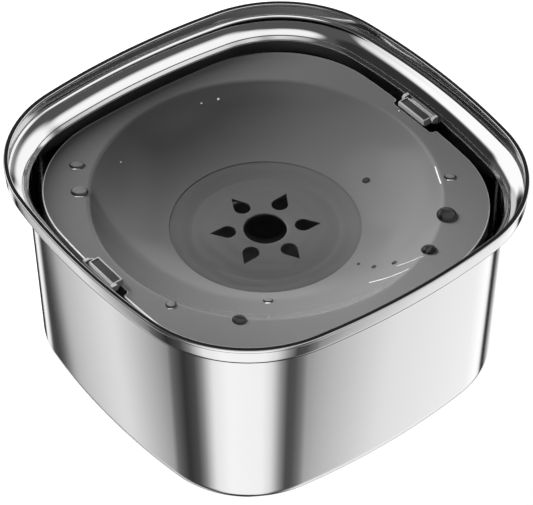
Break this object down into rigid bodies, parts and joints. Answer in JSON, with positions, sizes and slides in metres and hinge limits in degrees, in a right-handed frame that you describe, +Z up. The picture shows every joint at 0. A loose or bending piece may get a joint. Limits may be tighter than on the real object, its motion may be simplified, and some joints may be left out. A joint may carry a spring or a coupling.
{
  "type": "no-spill pet water bowl",
  "caption": "Deep square steel pet bowl with rounded corners and a stepped rim, holding a hollow float plate with a drinking dish and petal holes, kept in by flip-up clips.",
  "frame": {"origin": "on the floor, under the middle of the bowl", "axes": "+Z up out of the bowl, X through the two clips"},
  "size_m": [0.24, 0.24, 0.128],
  "materials": {
    "steel": "satin outside, polished rim",
    "plate_plastic": "smooth satin",
    "tray_plastic": "fine matt",
    "clip_plastic": "satin",
    "grip_rubber": "matt",
    "silicone": "matt",
    "foam_tape": "matt",
    "hardware": "plain",
    "water": "clear drops on the plate"
  },
  "bodies": {
    "bowl": {"bowl_shell": "steel", "foot_1": "silicone", "foot_2": "silicone", "foot_3": "silicone", "foot_4": "silicone", "clip_base_left": "clip_plastic", "clip_pin_left": "hardware", "clip_tape_left": "foam_tape", "clip_base_right": "clip_plastic", "clip_pin_right": "hardware", "clip_tape_right": "foam_tape"},
    "float": {"float_plate": "plate_plastic", "float_tray": "tray_plastic", "outer_seal": "silicone", "inner_seal": "silicone", "float_screws": "hardware"},
    "clip_left": {"clip_flap_left": "clip_plastic", "clip_grip_left": "grip_rubber"},
    "clip_right": {"clip_flap_right": "clip_plastic", "clip_grip_right": "grip_rubber"}
  },
  "joints": [
    {"name": "float_rise", "type": "slide", "parent": "bowl", "child": "float", "axis": [0, 0, 1], "range_m": [-0.071, 0], "stiffness_N_per_m": 250, "springref_m": 0.014},
    {"name": "clip_left_hinge", "type": "hinge", "parent": "bowl", "child": "clip_left", "pos_m": [-0.10471, 0, 0.1107], "axis": [0, -1, 0], "range_deg": [0, 75]},
    {"name": "clip_right_hinge", "type": "hinge", "parent": "bowl", "child": "clip_right", "pos_m": [0.10471, 0, 0.1107], "axis": [0, 1, 0], "range_deg": [0, 75]}
  ]
}
